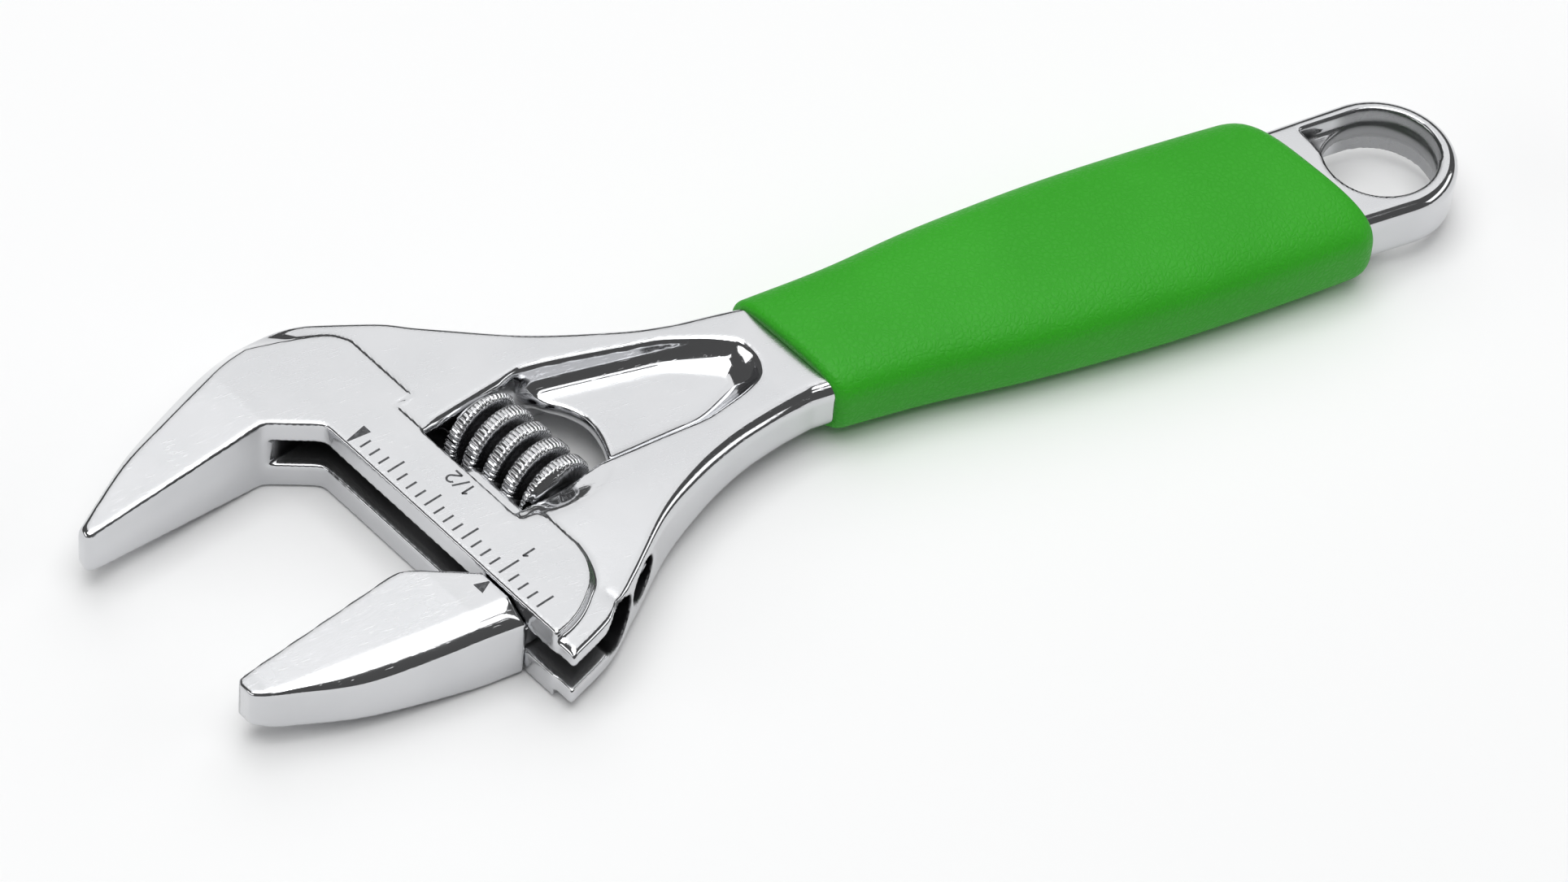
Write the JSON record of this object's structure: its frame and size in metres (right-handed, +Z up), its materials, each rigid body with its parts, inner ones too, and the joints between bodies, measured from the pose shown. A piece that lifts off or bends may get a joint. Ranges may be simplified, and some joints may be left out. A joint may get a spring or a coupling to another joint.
{
  "type": "adjustable wrench",
  "caption": "Adjustable wrench with angled wide-opening thin jaws, knurled worm, recessed handle, dipped sleeve grip and hanging eye.",
  "frame": {"origin": "under the middle of the tool's box, at its lowest point", "axes": "+X along the handle from the jaws to the hanging eye, +Y towards the fixed jaw's side, +Z up through the tool's thickness"},
  "size_m": [0.1732, 0.0582, 0.0124],
  "materials": {
    "body_chrome": "satin-bright flats with polished edges and recesses",
    "jaw_chrome": "satin-bright flats with a polished bevel",
    "worm_chrome": "knurled and plated",
    "pin_steel": "turned steel",
    "spring_steel": "drawn wire",
    "grip_green": "fine leather-like grain with a soft sheen"
  },
  "bodies": {
    "handle": {"body": "body_chrome", "grip": "grip_green", "worm_pin": "pin_steel", "worm_spring": "spring_steel"},
    "jaw": {"movable_jaw": "jaw_chrome"},
    "screw": {"worm": "worm_chrome"}
  },
  "joints": [
    {"name": "jaw_slide", "type": "slide", "parent": "handle", "child": "jaw", "axis": [0.2672, -0.9636, 0], "range_m": [-0.0256, 0.00595]},
    {"name": "worm_spin", "type": "hinge", "parent": "handle", "child": "screw", "pos_m": [-0.0369, 0.00141, 0.0062], "axis": [0.2672, -0.9636, 0], "range_deg": [-690, 2920]}
  ],
  "couplings": [
    {"joint": "worm_spin", "follows": "jaw_slide", "rad_per_m": -1979}
  ]
}
